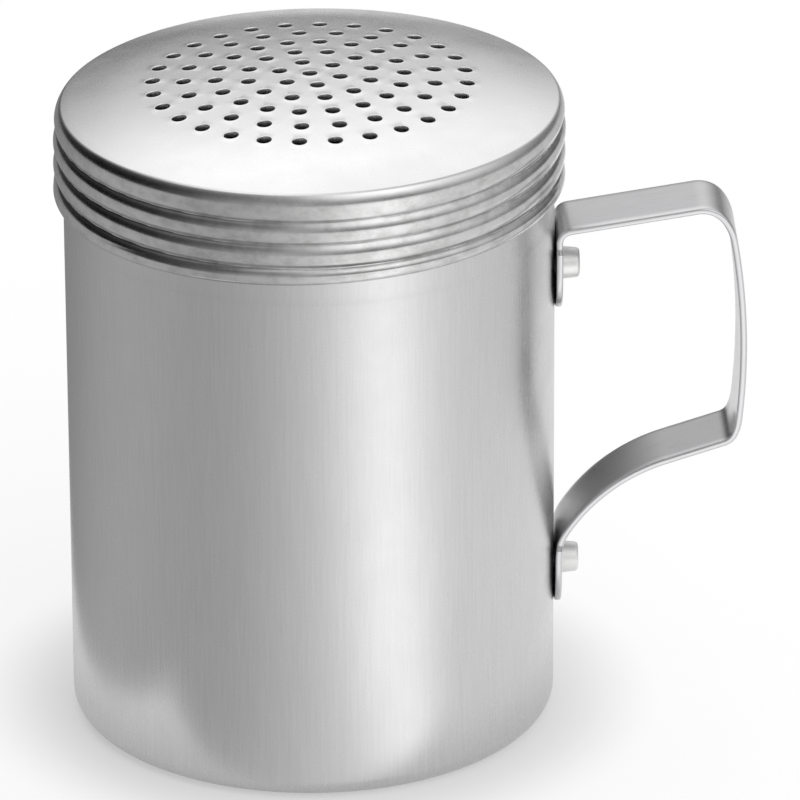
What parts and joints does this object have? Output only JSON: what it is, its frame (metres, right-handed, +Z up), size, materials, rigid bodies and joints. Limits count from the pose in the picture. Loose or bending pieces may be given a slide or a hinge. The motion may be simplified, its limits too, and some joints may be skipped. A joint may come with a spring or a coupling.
{
  "type": "spice shaker",
  "caption": "Handled aluminium spice shaker: a straight round cup, a bent strap handle riveted to its side, and a domed screw lid perforated with shaker holes.",
  "frame": {"origin": "centre of the cup's flat base, on the cup's axis", "axes": "+Z up along the cup's axis, +X towards the handle"},
  "size_m": [0.0988, 0.0728, 0.0974],
  "materials": {
    "cup_aluminium": "satin, with a faint drawn grain up the wall",
    "lid_aluminium": "satin crown, brighter thread",
    "strap_aluminium": "mill finish with a fine lengthwise grain",
    "rivet_aluminium": "matte"
  },
  "bodies": {
    "cup": {"cup": "cup_aluminium", "handle": "strap_aluminium", "upper_rivet": "rivet_aluminium", "lower_rivet": "rivet_aluminium"},
    "lid": {"lid": "lid_aluminium"}
  },
  "joints": [
    {"name": "lid_lift", "type": "slide", "parent": "cup", "child": "lid", "axis": [0, 0, 1], "range_m": [0, 0.03]}
  ]
}
